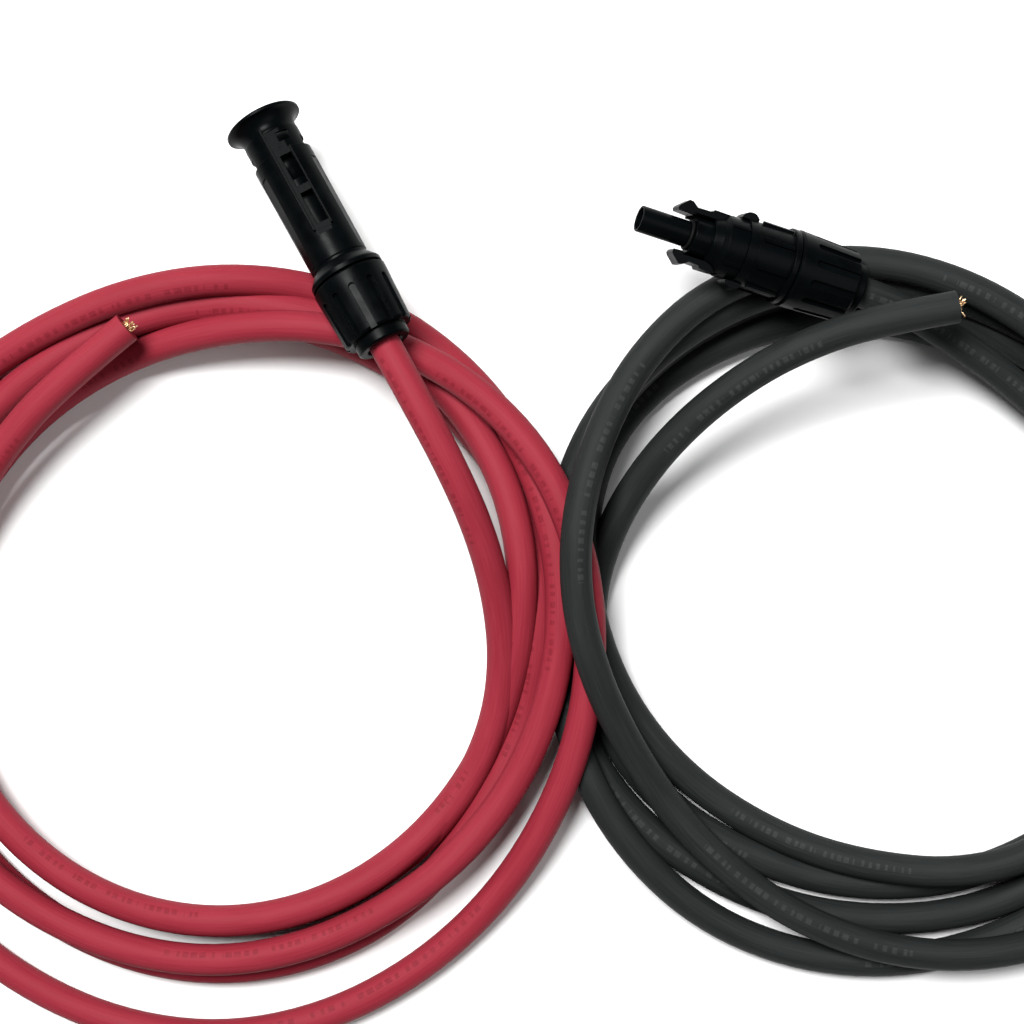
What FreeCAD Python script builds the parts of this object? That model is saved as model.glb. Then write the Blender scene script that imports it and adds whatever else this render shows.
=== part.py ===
import FreeCAD, Part
import math
import os

# A pair of solar leads laid out on a table: a red lead that ends in a socket coupler and a
# black lead that ends in a probe coupler, each with its cable wound into a loose coil.
# Millimetres, +Z up, the table is z = 0, and the origin is under the middle of the pair.

# ---------------------------------------------------------------- driving dimensions
CABLE_D = 7.5                 # cable over its jacket
CABLE_R = CABLE_D / 2
CORE_R = 1.65                 # stranded copper core

RED_TIP = (-66.4, 108.9, 18.2)  # middle of the red coupler's mouth
RED_YAW = -60.9               # plan direction from mouth to cable
RED_LIFT = 9.2                # the cable end is higher than the mouth
BLACK_TIP = (21.2, 83.9, 35.6)  # middle of the black coupler's probe end
BLACK_YAW = -16.0
BLACK_LIFT = -14.0            # the cable end is lower than the probe

NUT_L = 15.2                  # fluted length of the gland nut
NUT_FRONT_R = 9.1
NUT_REAR_R = 8.5
NUT_TRAVEL = 4.5              # three turns at the pitch below
THREAD_PITCH = 1.5
THREAD_R = 7.6
THREAD_CLEAR = 0.06           # running clearance between thread and nut
FLUTES = 12
FLUTE_W = 1.7
FLUTE_DEPTH = 0.75
NECK_R = 6.5                  # reduced rear end of the nut
EXIT_R = 4.1                  # cable hole in the nut
GLAND_BORE_R = 6.25           # housing bore that holds seal and collet
SHOULDER_R = 8.9              # housing collar in front of the nut
SHOULDER_GAP = 0.4

RED_NUT_AT = 43.6             # distance from the mouth to the nut's front face
RED_NECK_L = 2.8
BLACK_NUT_AT = 37.3           # distance from the probe end to the nut's front face
BLACK_NECK_L = 2.6
BLACK_NUT_ROLL = -10.5        # how far the black nut's flutes stand round from the top

FLANGE_R = 9.3                # red coupler's bell mouth
SOCKET_R = 6.0                # bore that takes the other coupler's probe and latches
BARREL_R = 7.25
PIN_R = 2.0                   # bare contact pin inside the red coupler
PROBE_R = 3.05
PROBE_BORE_R = 2.55
PROBE_L = 11.7                # probe tube in front of its O-ring
COLLAR_AT = 24.6              # locking collar's front face
COLLAR_W = 2.4
COLLAR_SEAT_R = 6.5
LATCH_FLEX_DEG = 4.5          # a latch arm bends in this far to let go

RED_COIL = (-78.9, -12.9)     # middle of the red coil on the table
RED_COIL_IN, RED_COIL_OUT = 64.5, 95.5
RED_COIL_SHIFT = (-1.3, -5.6)  # the outer turns lie off the middle
BLACK_COIL = (82.5, -3.7)
BLACK_COIL_IN, BLACK_COIL_OUT = 59.5, 90.0
BLACK_COIL_SHIFT = (3.3, -2.3)
COIL_H = 21.0                 # height of the wound turns
COIL_ROUND = 3.5

COIL_CUT_R = 10.4             # room that the turns leave round a coupler

# Cable that isn't wound: (distance from the coil's middle, angle in degrees, height).
RED_STRAIGHT = 15.0           # straight stretch out of the gland nut
BLACK_STRAIGHT = 12.0
RED_LEAD = [(70.2, 35.0, 29.0), (68.8, 22.0, 23.9), (68.7, 9.0, 17.2), (69.6, -4.0, 11.2),
            (70.4, -17.0, 6.8), (70.6, -30.0, 4.5)]
RED_TAIL = [(66.5, 149.5, 14.0), (67.3, 136.0, 16.6), (69.9, 121.6, 18.6), (76.1, 104.6, 19.4)]
BLACK_LEAD = [(62.9, 75.3, 15.7), (60.0, 62.9, 13.2), (58.9, 42.7, 10.4), (60.2, 28.0, 7.8),
              (62.4, 13.6, 6.0)]
BLACK_TAIL = [(66.4, 152.5, 16.0), (64.4, 138.0, 22.0), (63.5, 123.0, 27.2), (63.7, 109.5, 31.0),
              (65.0, 96.0, 33.2), (68.7, 80.5, 33.4)]
COPPER_END_L = 1.4            # strands that show at a cut end

NODES = {}


# ---------------------------------------------------------------- helpers
def vec(x, y, z=0.0):
    return FreeCAD.Vector(x, y, z)


AXIS = vec(1, 0)


def line(a, b):
    return Part.LineSegment(a, b).toShape()


def turned(outline):
    """Solid of revolution about the coupler's axis from (along, radius) points.

    A triple (along, radius, "arc") is the middle point of an arc between its neighbours."""
    edges = []
    count = len(outline)
    index = 0
    while index < count:
        here = vec(outline[index][0], outline[index][1])
        after = outline[(index + 1) % count]
        if len(after) == 3:
            end = outline[(index + 2) % count]
            edges.append(Part.Arc(here, vec(after[0], after[1]), vec(end[0], end[1])).toShape())
            index += 2
        else:
            edges.append(line(here, vec(after[0], after[1])))
            index += 1
    face = Part.Face(Part.Wire(edges))
    return face.revolve(vec(0, 0), AXIS, 360)


def ring(start, end, outer, inner=0.0):
    body = Part.makeCylinder(outer, end - start, vec(start, 0), AXIS)
    if inner:
        body = body.cut(Part.makeCylinder(inner, end - start, vec(start, 0), AXIS))
    return body


def block(x0, x1, y0, y1, z0, z1):
    return Part.makeBox(x1 - x0, y1 - y0, z1 - z0, vec(x0, y0, z0))


def plate(points, z0, z1):
    """Flat outline in the coupler's side plane, made z0..z1 thick."""
    corners = [vec(x, y, z0) for x, y in points]
    edges = [line(a, b) for a, b in zip(corners, corners[1:] + corners[:1])]
    return Part.Face(Part.Wire(edges)).extrude(vec(0, 0, z1 - z0))


def rolled(shape, degrees):
    copy = shape.copy()
    copy.rotate(vec(0, 0), AXIS, degrees)
    return copy


def one_solid(shape):
    solids = shape.removeSplitter().Solids
    return max(solids, key=lambda s: s.Volume)


def coupler_placement(tip, yaw, lift):
    return FreeCAD.Placement(vec(*tip), FreeCAD.Rotation(yaw, -lift, 0))


RED = coupler_placement(RED_TIP, RED_YAW, RED_LIFT)
BLACK = coupler_placement(BLACK_TIP, BLACK_YAW, BLACK_LIFT)


def add(name, shape, placement=None):
    solid = shape.copy()
    if placement:
        solid.Placement = placement.multiply(solid.Placement)
    NODES[name] = solid


# ---------------------------------------------------------------- gland, the same on both
def thread_points(start, end):
    """Rings of the housing's outside thread, from its shoulder to its open end."""
    points = []
    x = start + 0.8
    while x + THREAD_PITCH < end - 0.4:
        points += [(x, THREAD_R), (x + THREAD_PITCH / 2, THREAD_R - 0.65)]
        x += THREAD_PITCH
    return points + [(x, THREAD_R), (end - 0.5, THREAD_R), (end, THREAD_R - 0.5)]


def gland_nut(front, neck_l):
    rear = front + NUT_L
    end = rear + neck_l
    bore = THREAD_R + THREAD_CLEAR
    nut = turned([
        (front, bore + 0.3), (front, NUT_FRONT_R - 0.5), (front + 0.5, NUT_FRONT_R),
        (rear - 0.5, NUT_REAR_R), (rear, NUT_REAR_R - 0.5), (rear, NECK_R + 0.1),
        (end - 0.4, NECK_R), (end, NECK_R - 0.4), (end, EXIT_R + 0.4), (end - 0.4, EXIT_R),
        (front + 13.2, EXIT_R), (front + 13.2, 4.5), (front + 9.6, 6.4), (front + 9.6, bore),
        (front + 0.3, bore)])
    taper = math.degrees(math.atan((NUT_FRONT_R - NUT_REAR_R) / NUT_L))
    start = front + 3.6
    half = FLUTE_W / 2
    floor = NUT_FRONT_R - FLUTE_DEPTH - 0.15
    flute = block(start + half, end, -half, half, floor, floor + 3)
    flute = flute.fuse(Part.makeCylinder(half, 3, vec(start + half, 0, floor), vec(0, 0, 1)))
    flute.rotate(vec(start, 0, floor), vec(0, 1, 0), taper)
    flutes = [rolled(flute, 360 / FLUTES * i) for i in range(FLUTES)]
    cutters = flutes[0].multiFuse(flutes[1:])
    cutters = cutters.cut(ring(front, end + 5, NECK_R + 0.4))
    return one_solid(nut.cut(cutters))


def gland_collet(front):
    """Clamping cage that the nut squeezes on the cable."""
    cage = turned([
        (front + 6.6, CABLE_R + 0.05), (front + 6.6, 6.18), (front + 9.7, 6.18),
        (front + 12.9, 4.45), (front + 12.9, CABLE_R + 0.05)])
    slot = block(front + 8.2, front + 13.5, -0.4, 0.4, 0, 7)
    for i in range(6):
        cage = cage.cut(rolled(slot, 60 * i))
    return one_solid(cage)


def gland_seal(front):
    """Rubber grommet with three sealing lips inside the housing."""
    start, end = front - 1.0, front + 6.4
    points = [(start, CABLE_R), (start, 5.9)]
    lip = (end - start) / 3
    for i in range(3):
        x = start + lip * i
        points += [(x + 0.2 * lip, GLAND_BORE_R - 0.02), (x + 0.8 * lip, GLAND_BORE_R - 0.02)]
        points += [(x + lip, 5.9)]
    return turned(points + [(end, CABLE_R)])


def add_gland(prefix, front, neck_l, placement, nut_roll=0.0):
    add(prefix + "_gland_nut", rolled(gland_nut(front, neck_l), nut_roll), placement)
    add(prefix + "_clamp_collet", gland_collet(front), placement)
    add(prefix + "_cable_seal", gland_seal(front), placement)
    jacket = ring(front - 1.0, front + NUT_L + neck_l, CABLE_R)
    add(prefix + "_cable_in_gland", jacket, placement)
    washer = ring(front - 2.4, front - 1.0, GLAND_BORE_R - 0.05, 2.2)
    washer = washer.cut(block(front - 3, front, 0, 7, -0.6, 0.6))
    add(prefix + "_contact_retainer", one_solid(washer), placement)
    add(prefix + "_copper_core", ring(front - 11.5, front - 1.0, CORE_R), placement)


# ---------------------------------------------------------------- red coupler
def red_housing():
    nut = RED_NUT_AT
    shoulder = nut - SHOULDER_GAP
    thread_end = nut + 9.0
    body = turned([
        (0, FLANGE_R - 0.25), (0.25, FLANGE_R), (0.85, FLANGE_R), (2.0, 7.45, "arc"), (4.9, 6.8),
        (10.5, 6.8), (10.7, BARREL_R), (38.9, BARREL_R - 0.15), (39.2, 6.85), (39.7, 6.85),
        (41.8, SHOULDER_R - 0.25), (42.2, SHOULDER_R), (shoulder, SHOULDER_R),
        (shoulder, THREAD_R)]
        + thread_points(shoulder, thread_end)
        + [(thread_end, GLAND_BORE_R), (nut - 2.4, GLAND_BORE_R), (nut - 2.4, 4.3), (35.0, 4.3),
           (35.0, SOCKET_R), (4.2, SOCKET_R), (1.6, 6.6, "arc"), (0, 8.5)])
    # Track along the upper side, with its edge ribs, three windows and two cross bars.
    track = block(2.0, 32.0, -2.0, 2.05, 6.55, 9).cut(block(0, 5.2, -3, 3, 6, 10))
    ribs = [block(4.2, 31.8, -2.5, -2.0, 6.6, 7.6), block(10.7, 31.8, 2.05, 2.45, 6.6, 7.55)]
    windows = [
        rolled(block(6.2, 8.6, -1.6, 1.6, 4, 9), -20),
        block(11.9, 20.2, -0.9, 1.95, 4, 9),
        block(22.1, 30.4, -0.9, 1.95, 4, 9)]
    step = block(32.0, 33.1, -3.0, 3.0, 6.9, 9)
    body = body.fuse([rolled(rib, -7) for rib in ribs])
    body = body.cut([rolled(tool, -7) for tool in [track, step] + windows])
    # Side windows that the other coupler's latches snap into, one on each side.
    for side in (90, -90):
        window = block(7.8, 10.6, -2.6, 2.6, 5.4, 8)
        body = body.cut(rolled(window, side))
    # Flat lands with a rib between them along both sides of the barrel.
    for side in (62, -74, 180):
        land = block(14.0, 38.0, -1.6, 1.6, 7.0, 8)
        body = body.cut(rolled(land, side))
    return one_solid(body)


def red_contact_carrier():
    return turned([
        (17.0, 2.65), (17.0, 3.7), (17.6, 4.25), (RED_NUT_AT - 2.45, 4.25),
        (RED_NUT_AT - 2.45, 3.05), (30.0, 3.05), (30.0, 2.65)])


def red_pin_contact():
    crimp_end = RED_NUT_AT - 4.5
    return turned([
        (8.0, 0), (8.55, 1.42, "arc"), (10.0, PIN_R), (17.0, PIN_R), (17.0, 2.6), (30.2, 2.6),
        (30.2, 3.0), (crimp_end, 3.0),
        (crimp_end, CORE_R + 0.05), (crimp_end - 8, CORE_R + 0.05), (crimp_end - 8.6, 0)])


# ---------------------------------------------------------------- black coupler
LATCH_PIVOT = (19.8, 5.85)
LATCH_HALF_W = 2.3
LATCH_KNUCKLE_R = 1.0
LATCH_TIP_FAR = 7.6           # distance from the probe end to the hooked head
LATCH_TIP_NEAR = 9.0


def black_housing():
    nut = BLACK_NUT_AT
    collar_end = COLLAR_AT + COLLAR_W
    shoulder = nut - SHOULDER_GAP
    thread_end = nut + 9.0
    body = turned([
        (0, PROBE_BORE_R + 0.2), (0, PROBE_R - 0.1), (0.15, PROBE_R), (PROBE_L, PROBE_R),
        (PROBE_L, PROBE_R - 0.2), (PROBE_L + 1, PROBE_R - 0.2), (PROBE_L + 1, 4.1),
        (PROBE_L + 1.2, 4.3), (16.8, 4.4), (16.8, 5.3), (17.0, 5.5), (18.8, 6.0),
        (20.0, 7.2), (COLLAR_AT, 7.3), (COLLAR_AT, COLLAR_SEAT_R), (collar_end, COLLAR_SEAT_R),
        (collar_end, 7.75), (35.6, 7.9), (35.6, SHOULDER_R - 0.2), (35.8, SHOULDER_R),
        (shoulder, SHOULDER_R), (shoulder, THREAD_R)]
        + thread_points(shoulder, thread_end)
        + [(thread_end, GLAND_BORE_R), (nut - 2.4, GLAND_BORE_R), (nut - 2.4, 3.05),
           (18.4, 3.05), (18.4, PROBE_BORE_R), (0.2, PROBE_BORE_R)])
    # Guard under each latch arm, so that nothing presses it down.
    for side in (1, -1):
        for start, inner in ((11.4, 3.8), (13.0, 1.5)):
            low, high = sorted((side * inner, side * 6.1))
            body = body.fuse(block(start, 18.0, low, high, -3.5, -LATCH_HALF_W - 0.2))
    body = body.cut(ring(-1, 18.4, PROBE_BORE_R))
    half = LATCH_HALF_W + 0.15
    for side in (1, -1):
        top = LATCH_PIVOT[1] + LATCH_KNUCKLE_R + 3
        low, high = sorted((side * 4.2, side * top))
        body = body.cut(block(12.4, LATCH_PIVOT[0], low, high, -half, half))
        knuckle = Part.makeCylinder(LATCH_KNUCKLE_R + 0.06, 2 * half,
                                    vec(LATCH_PIVOT[0], side * LATCH_PIVOT[1], -half))
        lid = block(LATCH_PIVOT[0] - 0.1, LATCH_PIVOT[0] + 1.06,
                    *sorted((side * LATCH_PIVOT[1], side * top)), -half, half)
        body = body.cut(knuckle).cut(lid)
    # Grip ribs between the locking collar and the shoulder.
    ribs = [rolled(block(27.8, 35.4, -0.45, 0.45, 7.2, 8.45), 22.5 + 45 * i) for i in range(8)]
    front_ribs = [rolled(block(20.3, 24.5, -0.4, 0.4, 6.8, 7.7), a) for a in (-35, 35, 145, 215)]
    body = body.fuse(ribs + front_ribs)
    return one_solid(body)


def latch_arm(side, tip):
    """Springy arm beside the probe with a hooked head; side is +1 or -1."""
    px, py = LATCH_PIVOT
    r = LATCH_KNUCKLE_R
    outline = [
        (px, py - r + 0.1), (px, py + r), (16.2, 6.9), (15.8, 6.3), (tip + 4.5, 6.2),
        (tip + 3.1, 7.2), (tip + 2.2, 7.3), (tip + 0.3, 5.6), (tip, 5.0), (tip + 0.25, 4.35),
        (11.4, 4.2), (11.7, 4.95)]
    arm = plate([(x, side * y) for x, y in outline], -LATCH_HALF_W, LATCH_HALF_W)
    knuckle = Part.makeCylinder(r, 2 * LATCH_HALF_W, vec(px, side * py, -LATCH_HALF_W))
    arm = one_solid(arm.fuse(knuckle))
    # The arm's outside is part of the body's round.
    return one_solid(arm.common(ring(0, 30, 7.9)))


def locking_collar():
    """Snap-on collar with a round thumb pad on each side."""
    start = COLLAR_AT + 0.05
    end = COLLAR_AT + COLLAR_W - 0.05
    band = ring(start, end, 7.8, COLLAR_SEAT_R + 0.02)
    pads = []
    for side in (1, -1):
        pad = Part.makeCylinder(2.3, 5.0, vec(start + 0.35, side * 6.75, -2.5))
        pads.append(pad.common(block(20, end, *sorted((side * 7.36, side * 10)), -3, 3)))
    slit = block(start - 0.3, end + 0.3, -0.6, 0.6, -9, -6)
    seat = ring(start - 0.1, end + 0.1, COLLAR_SEAT_R + 0.02)
    return one_solid(band.fuse(pads).cut(seat).cut(slit))


def black_socket_contact():
    crimp_end = BLACK_NUT_AT - 4.5
    return turned([
        (1.6, 2.05), (1.6, 2.3), (1.9, 2.5), (18.6, 2.5), (18.6, 3.0), (crimp_end, 3.0),
        (crimp_end, CORE_R + 0.05), (crimp_end - 8, CORE_R + 0.05), (crimp_end - 8.6, 0),
        (14.5, 0), (13.5, 2.05)])


def contact_lamella():
    """Louvred spring band inside the socket contact."""
    band = ring(4.0, 11.0, 2.04, 1.92)
    slot = block(5.0, 10.0, -0.22, 0.22, 0, 3)
    for i in range(8):
        band = band.cut(rolled(slot, 45 * i))
    return one_solid(band)


def probe_o_ring():
    return Part.makeTorus(PROBE_R + 0.2, 0.4, vec(PROBE_L + 0.5, 0), AXIS)


# ---------------------------------------------------------------- cable
def tube(name, points):
    """Round cable along straight runs joined by tangent arcs, as large as the runs allow."""
    nodes = [vec(*p) for p in points]
    edges = []
    length = 0.0
    here = nodes[0]
    for before, corner, after in zip(nodes, nodes[1:], nodes[2:]):
        back = before.sub(corner)
        ahead = after.sub(corner)
        turn = math.pi - back.getAngle(ahead)
        reach = 0.45 * min(back.Length, ahead.Length)
        radius = reach / math.tan(turn / 2)
        back.normalize()
        ahead.normalize()
        start = corner.add(back.multiply(reach))
        end = corner.add(ahead.multiply(reach))
        inward = start.add(end).multiply(0.5).sub(corner)
        sag = radius / math.cos(turn / 2) - radius
        inward.normalize()
        middle = corner.add(inward.multiply(sag))
        edges.append(line(here, start))
        edges.append(Part.Arc(start, middle, end).toShape())
        length += start.sub(here).Length + radius * turn
        here = end
        print("%s bend radius %.0f mm, turn %.0f deg" % (name, radius, math.degrees(turn)))
    edges.append(line(here, nodes[-1]))
    length += nodes[-1].sub(here).Length
    path = Part.Wire(edges)
    first = nodes[1].sub(nodes[0])
    section = Part.Wire(Part.makeCircle(CABLE_R, nodes[0], first))
    solid = path.makePipeShell([section], True, True)
    expected = math.pi * CABLE_R ** 2 * length
    print("%s length %.0f mm, volume ratio %.4f" % (name, length, solid.Volume / expected))
    return solid


def coil(middle, shift, inner, outer):
    """Outer shape of a loosely wound coil that lies on the table."""
    disc = Part.makeCylinder(outer, COIL_H, vec(middle[0] + shift[0], middle[1] + shift[1]))
    hole = Part.makeCylinder(inner, COIL_H, vec(*middle))
    body = disc.cut(hole)
    rims = [e for e in body.Edges if e.Length > 200]
    return body.makeFillet(COIL_ROUND, rims)


def around(middle, points):
    """Route points given as (distance from the coil's middle, angle in degrees, height)."""
    placed = []
    for reach, angle, height in points:
        turn = math.radians(angle)
        placed.append((middle[0] + reach * math.cos(turn), middle[1] + reach * math.sin(turn),
                       height))
    return placed


def local_point(placement, along, side=0.0, up=0.0):
    p = placement.multVec(vec(along, side, up))
    return (p.x, p.y, p.z)


def copper_end(points):
    """Bundle of bare strands that shows at the cut end of a cable."""
    before, end = vec(*points[-2]), vec(*points[-1])
    return Part.makeCylinder(CORE_R, COPPER_END_L, end, end.sub(before))


def clear_couplers(body, cuts):
    for placement, end in cuts:
        room = ring(-4, end + NUT_TRAVEL + 1.5, COIL_CUT_R)
        room.Placement = placement
        body = body.cut(room)
    return one_solid(body)


# ---------------------------------------------------------------- the assembly
RED_END = RED_NUT_AT + NUT_L + RED_NECK_L
BLACK_END = BLACK_NUT_AT + NUT_L + BLACK_NECK_L

add("red_socket_housing", red_housing(), RED)
add("red_contact_carrier", red_contact_carrier(), RED)
add("red_pin_contact", red_pin_contact(), RED)
add_gland("red", RED_NUT_AT, RED_NECK_L, RED)

add("black_probe_housing", black_housing(), BLACK)
add("black_locking_collar", locking_collar(), BLACK)
add("black_latch_arm_far", latch_arm(1, LATCH_TIP_FAR), BLACK)
add("black_latch_arm_near", latch_arm(-1, LATCH_TIP_NEAR), BLACK)
add("black_socket_contact", black_socket_contact(), BLACK)
add("black_contact_lamella", contact_lamella(), BLACK)
add("black_probe_o_ring", probe_o_ring(), BLACK)
add_gland("black", BLACK_NUT_AT, BLACK_NECK_L, BLACK, BLACK_NUT_ROLL)

CUTS = [(RED, RED_END), (BLACK, BLACK_END)]
for colour, placement, end, middle, shift, inner, outer, straight, lead, tail in (
        ("red", RED, RED_END, RED_COIL, RED_COIL_SHIFT, RED_COIL_IN, RED_COIL_OUT,
         RED_STRAIGHT, RED_LEAD, RED_TAIL),
        ("black", BLACK, BLACK_END, BLACK_COIL, BLACK_COIL_SHIFT, BLACK_COIL_IN, BLACK_COIL_OUT,
         BLACK_STRAIGHT, BLACK_LEAD, BLACK_TAIL)):
    out_of_nut = [local_point(placement, end), local_point(placement, end + straight)]
    tail_points = around(middle, tail)
    add(colour + "_cable_lead", tube(colour + " lead", out_of_nut + around(middle, lead)))
    add(colour + "_cable_tail", tube(colour + " tail", tail_points))
    add(colour + "_copper_end", copper_end(tail_points))
    add(colour + "_cable_coil", clear_couplers(coil(middle, shift, inner, outer), CUTS))
    print("%s exit %s" % (colour, out_of_nut))

os.makedirs("parts", exist_ok=True)
box = FreeCAD.BoundBox()
for name, solid in NODES.items():
    solid.exportStep("parts/%s.step" % name)
    print("%-24s solids %d valid %s volume %8.1f" % (
        name, len(solid.Solids), solid.isValid(), solid.Volume))
    box.add(solid.optimalBoundingBox(False))
print("centre %.2f %.2f, bottom %.2f, size %.1f %.1f %.1f" % (
    box.Center.x, box.Center.y, box.ZMin, box.XLength, box.YLength, box.ZLength))
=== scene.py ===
import math
import random

import bpy
import numpy as np
from mathutils import Matrix, Vector


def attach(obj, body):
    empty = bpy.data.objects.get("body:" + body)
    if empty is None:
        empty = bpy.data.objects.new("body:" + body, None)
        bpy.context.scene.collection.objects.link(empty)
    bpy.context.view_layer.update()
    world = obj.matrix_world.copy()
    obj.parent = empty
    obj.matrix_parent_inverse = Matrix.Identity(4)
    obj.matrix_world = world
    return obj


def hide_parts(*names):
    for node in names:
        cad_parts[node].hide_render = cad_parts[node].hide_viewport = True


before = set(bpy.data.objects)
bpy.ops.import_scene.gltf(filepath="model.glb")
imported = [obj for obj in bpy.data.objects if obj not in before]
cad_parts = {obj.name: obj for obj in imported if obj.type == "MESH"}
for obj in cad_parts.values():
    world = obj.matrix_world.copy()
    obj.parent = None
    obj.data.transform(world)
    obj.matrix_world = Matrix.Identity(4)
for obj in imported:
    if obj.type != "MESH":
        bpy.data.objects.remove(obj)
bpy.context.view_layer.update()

MM = 0.001
CAMERA = (-7.6, 17.3, 480.0)     # mm, looking straight down

# ---------------------------------------------------------------- the cables' routes, in mm
CABLE_D = 7.5
RED_COIL = (-78.9, -12.9)
BLACK_COIL = (82.5, -3.7)

# Free cable, as in the CAD: (distance from the coil's middle, angle in degrees, height).
RED_EXIT = [(-36.827, 55.768, 28.049), (-29.626, 42.830, 30.447)]
RED_LEAD = [(70.2, 35.0, 29.0), (68.8, 22.0, 23.9), (68.7, 9.0, 17.2), (69.6, -4.0, 11.2),
            (70.4, -17.0, 6.8), (70.6, -30.0, 4.5)]
RED_TAIL = [(66.5, 149.5, 14.0), (67.3, 136.0, 16.6), (69.9, 121.6, 18.6), (76.1, 104.6, 19.4)]
BLACK_EXIT = [(72.592, 69.164, 22.270), (83.785, 65.954, 19.367)]
BLACK_LEAD = [(62.9, 75.3, 15.7), (60.0, 62.9, 13.2), (58.9, 42.7, 10.4), (60.2, 28.0, 7.8),
              (62.4, 13.6, 6.0)]
BLACK_TAIL = [(66.4, 152.5, 16.0), (64.4, 138.0, 22.0), (63.5, 123.0, 27.2), (63.7, 109.5, 31.0),
              (65.0, 96.0, 33.2), (68.7, 80.5, 33.4)]

# Wound cable: one row for each pass round the coil, clockwise from 60 degrees in steps of 30.
# A pass gives its distance from the middle, as seen from above, and the layer that it lies in.
# None is where the cable is free.
STATION = 30
RED_TURNS = [
    ([None, None, None, None, 70, 70, 70, 70, 70, 69.5, 70.5, 74.5],
     [None, None, None, None, 0, 0, 0, 0, 0, 0, 1, 2]),
    ([82.5, 89, 90.5, 91.5, 94.5, 98, 97, 95.5, 93.5, 90, 86, 87],
     [2.6, 2.2, 2, 1.6, 0.6, 0, 0, 0, 0, 0.3, 1.6, 2]),
    ([88, 86.5, 83, 80, 78, 79.5, 80.5, 83, 85.5, 82.5, 79.5, 78.5],
     [0.5, 1, 1.2, 1.2, 1.2, 1.2, 1.2, 0.6, 0, 0, 0, 0]),
    ([78.5, 79.5, 78, 76.5, 80, 81.5, 80.5, 79, 77.5, 78, 79, 81],
     [0, 0.3, 0.8, 0.8, 0.2, 0, 0, 0, 0, 0.4, 1.1, 1.2]),
    ([82, 79, 73, 70, 69.5, 70, 70, 70, 70, None, None, None],
     [1.4, 1.2, 1.3, 1.1, 1, 1, 1, 1, 1.2, None, None, None]),
]
BLACK_TURNS = [
    ([None, None, 67, 71.5, 73, 65.5, 63, 66, 71.5, 77, 72.5, 68],
     [None, None, 0.3, 0.8, 1.2, 1.2, 1.2, 1, 0.5, 0, 0, 0]),
    ([65.5, 68.5, 73, 77, 80, 78.5, 79, 81, 78, 81, 79, 75.5],
     [0, 0, 0, 0, 0, 0, 0, 0, 0, 0.1, 0.1, 0.1]),
    ([69.5, 73.5, 79.5, 84.5, 87, 89, 88.5, 83.5, 79.5, 81.5, 80, 78],
     [0.5, 0.3, 0.2, 0, 0, 0, 0, 0.2, 0.3, 1, 1.1, 1.1]),
    ([75, 81, 88.5, 94.5, 94.5, 85.5, 75.5, 71, 74, 79, 85, 82],
     [1, 0.5, 0, 0, 0.6, 2, 2.4, 3, 3.8, 3, 2.2, 2.2]),
    ([76.5, 74.5, 75.5, 73.5, 71.5, 70, 70.5, 73.5, 70.5, None, None, None],
     [2, 1.2, 0.5, 0, 0, 0, 0, 0, 0.1, None, None, None]),
]
PER_TURN = 72                    # points that settle, on each pass
KEPT_EVERY = 3                   # of these become the curve's own points
SPREAD = 1 / math.cos(math.pi * KEPT_EVERY / PER_TURN)  # the curve runs inside its own points
LEAST_GAP = 10                   # along one cable, nearer points don't press on each other
DROP = 0.12                      # mm that the wound cable sinks in each step
PUSH_UP = 0.5                    # share of an overlap by which the upper strand rises in a step
PUSH_DOWN = 0.35                 # and by which the lower one sinks
JACKET_LENGTH = 2440.0           # mm of cable that a whole jacket's pattern covers

# The red coupler, as in the CAD.
RED_TIP = (-66.4, 108.9, 18.2)   # middle of its mouth, in mm
RED_YAW = -60.9                  # degrees
RED_LIFT = 9.2


def around(middle, points):
    placed = []
    for reach, angle, height in points:
        turn = math.radians(angle)
        placed.append((middle[0] + reach * math.cos(turn),
                       middle[1] + reach * math.sin(turn), height))
    return placed


def smooth_between(values, share):
    """Cubic through the two middle values of four."""
    a, b, c, d = values
    return b + share / 2 * (c - a + share * (2 * a - 5 * b + 4 * c - d
                                             + share * (3 * (b - c) + d - a)))


def wound(middle, turns):
    """Plan points and first heights of a coil's turns, worked out from the rows above."""
    reaches, layers, angles = [], [], []
    for row, (distances, heights) in enumerate(turns):
        for column, (reach, layer) in enumerate(zip(distances, heights)):
            if reach is not None:
                reaches.append(reach)
                layers.append(layer)
                angles.append(60 - 360 * row - STATION * column)
    steps = PER_TURN * STATION // 360
    made = []
    last = len(reaches) - 1
    for index in range(last):
        picks = [max(index - 1, 0), index, index + 1, min(index + 2, last)]
        for step in range(steps + (index == last - 1)):
            share = step / steps
            reach = SPREAD * smooth_between([reaches[p] for p in picks], share)
            layer = smooth_between([layers[p] for p in picks], share)
            turn = math.radians(angles[index] - STATION * share)
            made.append((middle[0] + reach * math.cos(turn),
                         middle[1] + reach * math.sin(turn),
                         CABLE_D / 2 + layer * CABLE_D))
    return np.array(made)


def lifted(points):
    """The same places as seen from the camera, once they have their heights."""
    eye = np.array(CAMERA)
    share = points[:, 2:3] / eye[2]
    out = points.copy()
    out[:, :2] += (eye[:2] - points[:, :2]) * share
    return out


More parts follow.
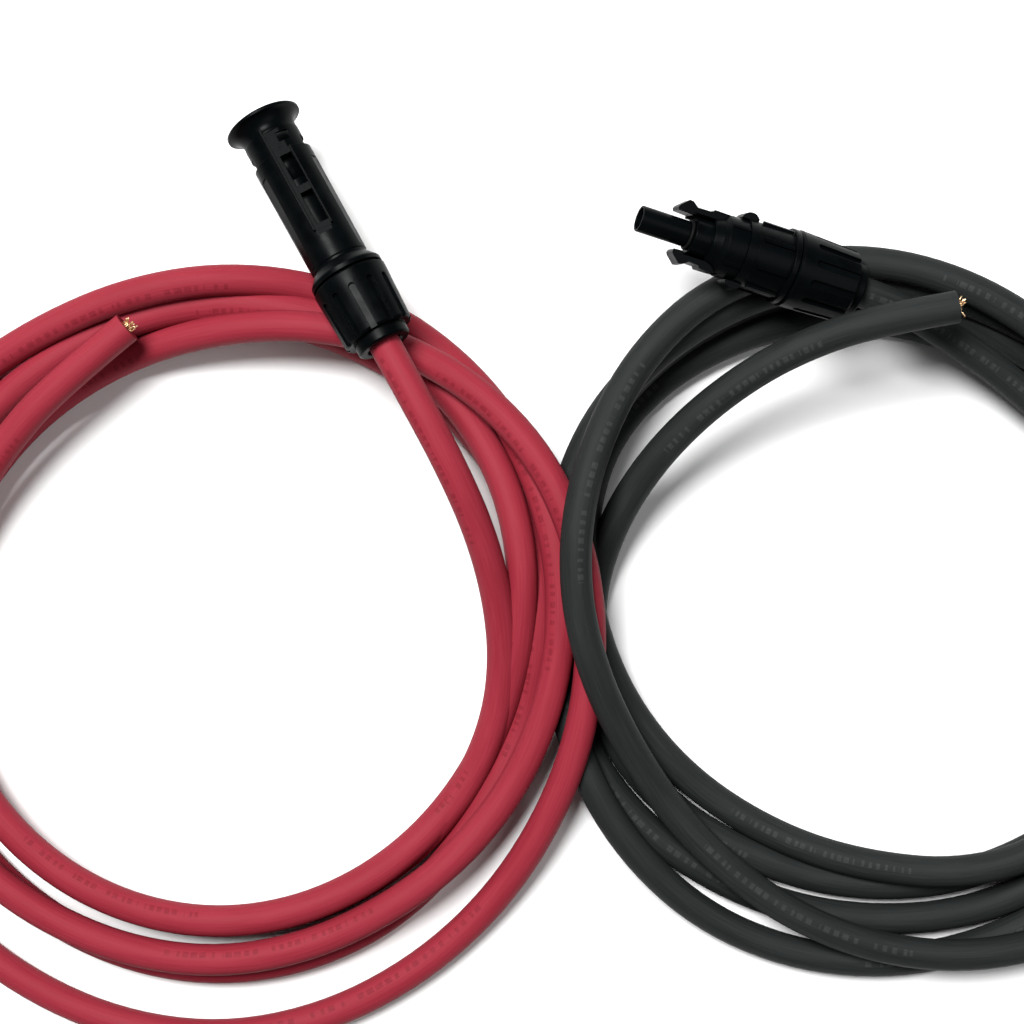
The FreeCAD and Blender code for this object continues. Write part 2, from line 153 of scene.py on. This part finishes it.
def settle(strands, fixed, rounds=3, steps=260):
    """Lowers all the wound cable onto the table and onto itself, keeping what lies over what."""
    plan = np.vstack([strands[0], strands[1]])
    owner = np.repeat([0, 1], [len(strands[0]), len(strands[1])])
    index = np.concatenate([np.arange(len(s)) for s in strands])
    extra = np.vstack(fixed)
    height = plan[:, 2].copy()
    order = plan[:, 2].copy()
    for _ in range(rounds):
        placed = lifted(np.column_stack([plan[:, :2], height]))
        every = np.vstack([placed[:, :2], extra[:, :2]])
        order_all = np.concatenate([order, extra[:, 2]])
        count = len(placed)
        gap = np.linalg.norm(every[:, None] - every[None, :count], axis=2)
        near = gap < CABLE_D
        same = np.zeros_like(near)
        same[:count] = (owner[:, None] == owner[None]) & (
            np.abs(index[:, None] - index[None]) < LEAST_GAP)
        over, under = np.nonzero(near & ~same)
        # The free cable doesn't move, and always counts as the upper one of a pair.
        keep = (over >= count) | (order_all[over] > order_all[under]) | (
            (order_all[over] == order_all[under]) & (over > under))
        over, under = over[keep], under[keep]
        need = np.sqrt(CABLE_D ** 2 - gap[over, under] ** 2)
        z = np.concatenate([height, extra[:, 2]])
        for _ in range(steps):
            z[:count] -= DROP
            lack = need - (z[over] - z[under])
            hit = lack > 0
            up = np.zeros(len(z))
            down = np.zeros(len(z))
            np.maximum.at(up, over[hit], lack[hit])
            np.maximum.at(down, under[hit], lack[hit])
            z[:count] += PUSH_UP * up[:count] - PUSH_DOWN * down[:count]
            for who in (0, 1):
                mine = np.nonzero(owner == who)[0]
                line = z[mine]
                smooth = line.copy()
                smooth[1:-1] = (line[:-2] + 2 * line[1:-1] + line[2:]) / 4
                z[mine] = smooth
            z[:count] = np.maximum(z[:count], CABLE_D / 2)
        height = z[:count].copy()
    placed = lifted(np.column_stack([plan[:, :2], height]))
    return placed[owner == 0], placed[owner == 1]


def cable(name, points):
    """Round cable along a smooth NURBS line with those points as its control points, in mm."""
    data = bpy.data.curves.new(name, "CURVE")
    data.dimensions = "3D"
    spline = data.splines.new("NURBS")
    spline.points.add(len(points) - 1)
    for point, place in zip(spline.points, points):
        point.co = (place[0] * MM, place[1] * MM, place[2] * MM, 1)
    spline.order_u = 3
    spline.use_endpoint_u = True
    spline.resolution_u = 6
    data.bevel_depth = CABLE_D / 2 * MM
    data.bevel_resolution = 6
    data.use_fill_caps = True
    piece = bpy.data.objects.new(name, data)
    bpy.context.scene.collection.objects.link(piece)
    return piece


# ---------------------------------------------------------------- materials
class Look:
    """A material's node tree, with short names for the nodes that the looks share."""

    def __init__(self, name, rough, specular=0.5, metallic=0.0):
        self.material = bpy.data.materials.new(name)
        self.material.use_nodes = True
        self.tree = self.material.node_tree
        self.shader = self.tree.nodes["Principled BSDF"]
        self.shader.inputs["Roughness"].default_value = rough
        self.shader.inputs["Specular IOR Level"].default_value = specular
        self.shader.inputs["Metallic"].default_value = metallic

    def node(self, kind, inputs=(), **settings):
        made = self.tree.nodes.new("ShaderNode" + kind)
        for key, value in settings.items():
            setattr(made, key, value)
        for key, value in dict(inputs).items():
            self.give(made.inputs[key], value)
        return made

    def give(self, socket, value):
        if isinstance(value, bpy.types.NodeSocket):
            self.tree.links.new(value, socket)
        else:
            socket.default_value = value

    def math(self, operation, a, b=0.0):
        return self.node("Math", {0: a, 1: b}, operation=operation).outputs[0]

    def noise(self, where, scale, detail=4.0):
        return self.node("TexNoise", {"Vector": where, "Scale": scale,
                                      "Detail": detail}).outputs["Fac"]

    def ranged(self, value, low, high, to_low, to_high):
        return self.node("MapRange", {"Value": value, "From Min": low, "From Max": high,
                                      "To Min": to_low, "To Max": to_high}).outputs[0]

    def mix(self, share, a, b):
        return self.node("MixRGB", {"Fac": share, "Color1": a, "Color2": b}).outputs[0]

    def bump(self, height, distance, strength=1.0, normal=None):
        made = self.node("Bump", {"Height": height, "Distance": distance,
                                  "Strength": strength})
        if normal is not None:
            self.give(made.inputs["Normal"], normal)
        return made.outputs[0]


def object_place(look):
    """Where a point lies on its own object, in metres."""
    return look.node("TexCoord").outputs["Object"]


def moulded(name, colour, worn, rough, specular):
    """Moulded plastic: fine grain, slight mottling, and softened edges that catch the light."""
    edge = 0.00018
    look = Look(name, rough, specular=specular)
    place = object_place(look)
    mottle = look.noise(place, 260.0)
    grain = look.noise(place, 4200.0, 2.0)
    handled = look.ranged(look.noise(place, 90.0, 6.0), 0.5, 0.72, 0.0, 1.0)
    base = look.mix(look.ranged(mottle, 0.3, 0.7, 0.0, 0.35), (*colour, 1), (*worn, 1))
    look.give(look.shader.inputs["Base Color"], base)
    roughness = look.math("ADD", look.ranged(mottle, 0.3, 0.7, rough - 0.06, rough + 0.07),
                          look.math("MULTIPLY", handled, 0.06))
    look.give(look.shader.inputs["Roughness"], roughness)
    soft = look.node("Bevel", {"Radius": edge}, samples=4).outputs[0]
    look.give(look.shader.inputs["Normal"], look.bump(grain, 0.00003, 0.35, soft))
    return look.material


def metal(name, colour, dull, rough):
    """Plated or drawn metal with fine wear."""
    look = Look(name, rough, metallic=1.0)
    place = object_place(look)
    wear = look.noise(place, 900.0, 5.0)
    base = look.mix(look.ranged(wear, 0.35, 0.7, 0.0, 1.0), (*colour, 1), (*dull, 1))
    look.give(look.shader.inputs["Base Color"], base)
    look.give(look.shader.inputs["Roughness"], look.ranged(wear, 0.3, 0.7, rough, rough + 0.15))
    look.give(look.shader.inputs["Normal"], look.bump(wear, 0.00002, 0.4))
    return look.material


def along_and_round(look):
    """Millimetres along a cable, the share of the way round it, and that turn's two parts."""
    split = look.node("SeparateXYZ", {0: look.node("TexCoord").outputs["UV"]})
    along = look.math("MULTIPLY", split.outputs["X"], JACKET_LENGTH)
    turn = look.math("MULTIPLY", split.outputs["Y"], 2 * math.pi)
    return along, split.outputs["Y"], look.math("COSINE", turn), look.math("SINE", turn)


def print_marks(look, along, side, row_at):
    """A row of plain dashes in groups, at row_at of the way round. They are no letters."""
    dash, cluster, group = 2.2, 11.5, 131.0     # mm from the start of one to the next
    half_height = 0.03                          # as a share of the way round
    cells = look.math("DIVIDE", along, dash)
    cell = look.math("FLOOR", cells)
    inside = look.math("FRACT", cells)
    chance = look.node("TexWhiteNoise", {"W": cell}, noise_dimensions="1D").outputs["Value"]
    width = look.ranged(chance, 0.0, 1.0, 0.3, 0.8)
    bar = look.math("LESS_THAN", inside, width)
    clusters = look.math("FRACT", look.math("DIVIDE", along, cluster))
    spaced = look.math("GREATER_THAN", clusters, 0.16)
    groups = look.math("FRACT", look.math("DIVIDE", along, group))
    grouped = look.math("LESS_THAN", groups, 0.42)
    off = look.math("ABSOLUTE", look.math("SUBTRACT", side, row_at))
    off = look.math("MINIMUM", off, look.math("SUBTRACT", 1.0, off))
    row = look.math("LESS_THAN", off, half_height)
    made = look.math("MULTIPLY", bar, row)
    made = look.math("MULTIPLY", made, spaced)
    return look.math("MULTIPLY", made, grouped)


def jacket(name, colour, pale, dark, printed, ink_share, row_at):
    """Cable jacket: matte, drawn lengthwise, a little scuffed, with a worn row of dashes."""
    look = Look(name, 0.62, specular=0.12)
    along, side, across, up = along_and_round(look)

    def stretched(run, turns):
        """A seamless place whose detail is drawn out along the cable."""
        where = look.node("CombineXYZ", {
            0: look.math("MULTIPLY", along, run), 1: look.math("MULTIPLY", across, turns),
            2: look.math("MULTIPLY", up, turns)})
        return where.outputs[0]

    streaks = look.noise(stretched(0.035, 5.0), 2.0, 6.0)
    scratches = look.noise(stretched(0.09, 22.0), 2.4, 3.0)
    patches = look.noise(stretched(0.05, 1.2), 1.0, 3.0)
    base = look.mix(look.ranged(streaks, 0.38, 0.72, 0.0, 1.0), (*colour, 1), (*pale, 1))
    base = look.mix(look.ranged(patches, 0.45, 0.75, 0.0, 0.55), base, (*dark, 1))
    base = look.mix(look.ranged(scratches, 0.6, 0.78, 0.0, 0.5), base, (*pale, 1))
    marks = print_marks(look, along, side, row_at)
    rubbed = look.ranged(look.noise(stretched(0.5, 6.0), 1.6, 3.0), 0.3, 0.7, ink_share, 0.15)
    base = look.mix(look.math("MULTIPLY", marks, rubbed), base, (*printed, 1))
    look.give(look.shader.inputs["Base Color"], base)
    look.give(look.shader.inputs["Roughness"], look.ranged(streaks, 0.3, 0.7, 0.54, 0.7))
    look.give(look.shader.inputs["Normal"],
              look.bump(look.math("ADD", streaks, scratches), 0.00006, 0.5))
    return look.material


def floor_look():
    """Plain pale floor with a faint cloud."""
    look = Look("floor", 0.85, specular=0.1)
    cloud = look.noise(object_place(look), 6.0)
    base = look.mix(cloud, (0.82, 0.83, 0.82, 1), (0.86, 0.86, 0.86, 1))
    look.give(look.shader.inputs["Base Color"], base)
    return look.material


LOOKS = {
    "coupler_plastic": moulded("coupler_plastic", (0.0008, 0.0012, 0.0014),
                               (0.002, 0.003, 0.0036), 0.32, 0.035),
    "seal_rubber": moulded("seal_rubber", (0.004, 0.004, 0.0045), (0.007, 0.007, 0.007), 0.6, 0.06),
    "tinned_contact": metal("tinned_contact", (0.62, 0.62, 0.6), (0.42, 0.42, 0.42), 0.28),
    "spring_brass": metal("spring_brass", (0.62, 0.43, 0.16), (0.4, 0.27, 0.1), 0.3),
    "copper_strands": metal("copper_strands", (0.83, 0.5, 0.26), (0.9, 0.72, 0.45), 0.3),
    "red_jacket": jacket("red_jacket", (0.218, 0.0155, 0.0275), (0.25, 0.0225, 0.036),
                         (0.19, 0.012, 0.021), (0.1, 0.005, 0.009), 0.55, 0.3),
    "black_jacket": jacket("black_jacket", (0.0112, 0.0128, 0.0126), (0.018, 0.0203, 0.02),
                           (0.008, 0.0093, 0.0093), (0.05, 0.055, 0.053), 0.4, 0.22),
}
# Looks of the CAD's own nodes, by their names after the lead's colour. The rest is plastic.
NODE_LOOKS = {
    "cable_seal": "seal_rubber", "probe_o_ring": "seal_rubber", "pin_contact": "tinned_contact",
    "socket_contact": "tinned_contact", "contact_lamella": "spring_brass",
    "copper_core": "copper_strands",
}
for node_name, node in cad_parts.items():
    colour, _, kind = node_name.partition("_")
    slot = NODE_LOOKS.get(kind, "coupler_plastic")
    if kind == "cable_in_gland":
        slot = colour + "_jacket"
    if not node.material_slots:
        node.data.materials.append(LOOKS[slot])
    for index in range(len(node.material_slots)):
        node.material_slots[index].link = "OBJECT"
        node.material_slots[index].material = LOOKS[slot]


red_free = RED_EXIT + around(RED_COIL, RED_LEAD)
red_end = around(RED_COIL, RED_TAIL)
black_free = BLACK_EXIT + around(BLACK_COIL, BLACK_LEAD)
black_end = around(BLACK_COIL, BLACK_TAIL)


def between(points, spacing=3.0):
    """The same line with a point about every few mm."""
    made = []
    for a, b in zip(points, points[1:]):
        a, b = Vector(a), Vector(b)
        count = max(2, int((b - a).length / spacing))
        made += [tuple(a.lerp(b, i / count)) for i in range(count)]
    return np.array(made + [points[-1]])


def joined(middle, lead, turns, tail):
    """The whole route, with a point half-way round each wide step between wound and free."""
    def polar(point):
        x, y = point[0] - middle[0], point[1] - middle[1]
        return math.hypot(x, y), math.atan2(y, x), point[2]

    def halfway(a, b):
        (reach_a, turn_a, high_a), (reach_b, turn_b, high_b) = polar(a), polar(b)
        turn = turn_a + ((turn_b - turn_a + math.pi) % (2 * math.pi) - math.pi) / 2
        reach = (reach_a + reach_b) / 2
        return (middle[0] + reach * math.cos(turn), middle[1] + reach * math.sin(turn),
                (high_a + high_b) / 2)

    turns = [tuple(p) for p in turns]
    return (lead + [halfway(lead[-1], turns[0])] + turns
            + [halfway(turns[-1], tail[0])] + tail)


red_wound, black_wound = settle(
    [wound(RED_COIL, RED_TURNS), wound(BLACK_COIL, BLACK_TURNS)],
    [between(p) for p in (red_free, red_end, black_free, black_end)])
red_points = joined(RED_COIL, red_free, red_wound[::KEPT_EVERY], red_end)
black_points = joined(BLACK_COIL, black_free, black_wound[::KEPT_EVERY], black_end)
red_cable = cable("red_cable", red_points)
black_cable = cable("black_cable", black_points)
red_cable.data.materials.append(LOOKS["red_jacket"])
black_cable.data.materials.append(LOOKS["black_jacket"])
for piece, side in ((red_cable, "red"), (black_cable, "black")):
    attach(piece, "leads")
    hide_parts(side + "_cable_lead", side + "_cable_coil", side + "_cable_tail")


# ---------------------------------------------------------------- small pieces
def tube_mesh(name, lines, radius, sides=6):
    """Thin round wires along lines of points, all in one mesh, in mm."""
    vertices, faces = [], []
    for points in lines:
        points = [Vector(p) for p in points]
        first = len(vertices)
        for index, point in enumerate(points):
            ahead = points[min(index + 1, len(points) - 1)] - points[max(index - 1, 0)]
            turn = ahead.to_track_quat("Z", "Y")
            for side in range(sides):
                angle = 2 * math.pi * side / sides
                off = Vector((radius * math.cos(angle), radius * math.sin(angle), 0))
                vertices.append((point + turn @ off) * MM)
        for index in range(len(points) - 1):
            start = first + index * sides
            for side in range(sides):
                after = (side + 1) % sides
                faces.append((start + side, start + after,
                              start + sides + after, start + sides + side))
        faces.append(tuple(first + side for side in reversed(range(sides))))
        last = first + (len(points) - 1) * sides
        faces.append(tuple(last + side for side in range(sides)))
    mesh = bpy.data.meshes.new(name)
    mesh.from_pydata(vertices, [], faces)
    mesh.polygons.foreach_set("use_smooth", [len(f) == 4 for f in faces])
    piece = bpy.data.objects.new(name, mesh)
    bpy.context.scene.collection.objects.link(piece)
    return piece


def strands(name, free_end, frayed, wires_seed):
    """Fine copper wires out of a cut end. The share frayed of them is bent away."""
    wire_radius, ring_step = 0.17, 0.46
    draw = random.Random(wires_seed)
    before, end = Vector(free_end[-2]), Vector(free_end[-1])
    ahead = (end - before).normalized()
    across = ahead.cross(Vector((0, 0, 1))).normalized()
    up = across.cross(ahead)
    lines = []
    for ring, count in ((0, 1), (1, 6), (2, 12), (3, 18)):
        for index in range(count):
            angle = 2 * math.pi * (index + 0.5 * (ring % 2)) / count
            reach = ring * ring_step
            root = end + across * (reach * math.cos(angle)) + up * (reach * math.sin(angle))
            long = draw.uniform(0.3, 1.0)
            lean = Vector((0, 0, 0))
            if ring and draw.random() < frayed:
                long = draw.uniform(1.0, 2.2)
                lean = (across * math.cos(angle) + up * math.sin(angle)) * draw.uniform(0.4, 1.3)
                lean += across * draw.uniform(-0.7, 0.7) + up * draw.uniform(-0.2, 0.6)
            lines.append([root - ahead * 1.5, root + ahead * (long * 0.35),
                          root + ahead * (long * 0.7) + lean * 0.35,
                          root + ahead * long + lean])
    return tube_mesh(name, lines, wire_radius)


def lathe(name, outline, placement, sides=64):
    """Thin turned shell about the coupler's own axis, from (along, radius) points in mm."""
    vertices, faces = [], []
    count = len(outline)
    for side in range(sides):
        angle = 2 * math.pi * side / sides
        for along, radius in outline:
            point = Vector((along, radius * math.cos(angle), radius * math.sin(angle)))
            vertices.append((placement @ point) * MM)
    for side in range(sides):
        after = (side + 1) % sides
        for index in range(count):
            forward = (index + 1) % count
            faces.append((side * count + index, side * count + forward,
                          after * count + forward, after * count + index))
    mesh = bpy.data.meshes.new(name)
    mesh.from_pydata(vertices, [], faces)
    mesh.polygons.foreach_set("use_smooth", [True] * len(faces))
    piece = bpy.data.objects.new(name, mesh)
    bpy.context.scene.collection.objects.link(piece)
    return piece


def coupler_placement(tip, yaw, lift):
    """Turns a coupler's own axis and distances into the frame's, in mm and degrees."""
    turn = Matrix.Rotation(math.radians(yaw), 4, "Z") @ Matrix.Rotation(
        math.radians(-lift), 4, "Y")
    return Matrix.Translation(tip) @ turn


# Dark plastic sleeve inside the red coupler round the pin, standing in for painted shade: it hides
# the bright pin so that the windows look as dark as shaded ones.
shade_sleeve = lathe("red_painted_shade_sleeve", [(10.6, 3.75), (10.4, 3.95), (10.6, 4.15), (17.3, 4.15),
                                 (17.3, 3.72), (10.9, 3.72)],
              coupler_placement(RED_TIP, RED_YAW, RED_LIFT))
shade_sleeve.data.materials.append(LOOKS["coupler_plastic"])
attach(shade_sleeve, "leads")

red_strands = strands("red_strands", red_end, 0.3, 5)
black_strands = strands("black_strands", black_end, 0.06, 9)
for piece, side in ((red_strands, "red"), (black_strands, "black")):
    piece.data.materials.append(LOOKS["copper_strands"])
    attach(piece, "leads")
    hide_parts(side + "_copper_end")


# ---------------------------------------------------------------- camera, floor and lights
def camera():
    data = bpy.data.cameras.new("camera")
    data.lens = 68.9
    data.sensor_width = 36
    cam = bpy.data.objects.new("camera", data)
    cam.location = tuple(v * MM for v in CAMERA)
    data.clip_start = 0.01
    data.clip_end = 10
    bpy.context.scene.collection.objects.link(cam)
    bpy.context.scene.camera = cam


def stage():
    mesh = bpy.data.meshes.new("floor")
    half = 1.5                   # m
    mesh.from_pydata([(-half, -half, 0), (half, -half, 0), (half, half, 0), (-half, half, 0)],
                     [], [(0, 1, 2, 3)])
    floor = bpy.data.objects.new("floor", mesh)
    bpy.context.scene.collection.objects.link(floor)
    mesh.materials.append(floor_look())


def light(name, place, size, power):
    """Round soft lamp that faces the middle of the table, in metres and watts."""
    data = bpy.data.lights.new(name, "AREA")
    data.shape = "DISK"
    data.size = size
    data.energy = power
    lamp = bpy.data.objects.new(name, data)
    lamp.location = place
    lamp.rotation_euler = (-Vector(place)).to_track_quat("-Z", "Y").to_euler()
    bpy.context.scene.collection.objects.link(lamp)


camera()
stage()
light("key", (-0.4, 0.55, 1.4), 0.65, 46)
light("fill", (0.8, -0.1, 1.2), 0.9, 4.5)
world = bpy.data.worlds.new("world")
world.use_nodes = True
world.node_tree.nodes["Background"].inputs["Color"].default_value = (1, 1, 1, 1)
world.node_tree.nodes["Background"].inputs["Strength"].default_value = 0.1
bpy.context.scene.world = world
bpy.context.scene.view_settings.view_transform = "Standard"
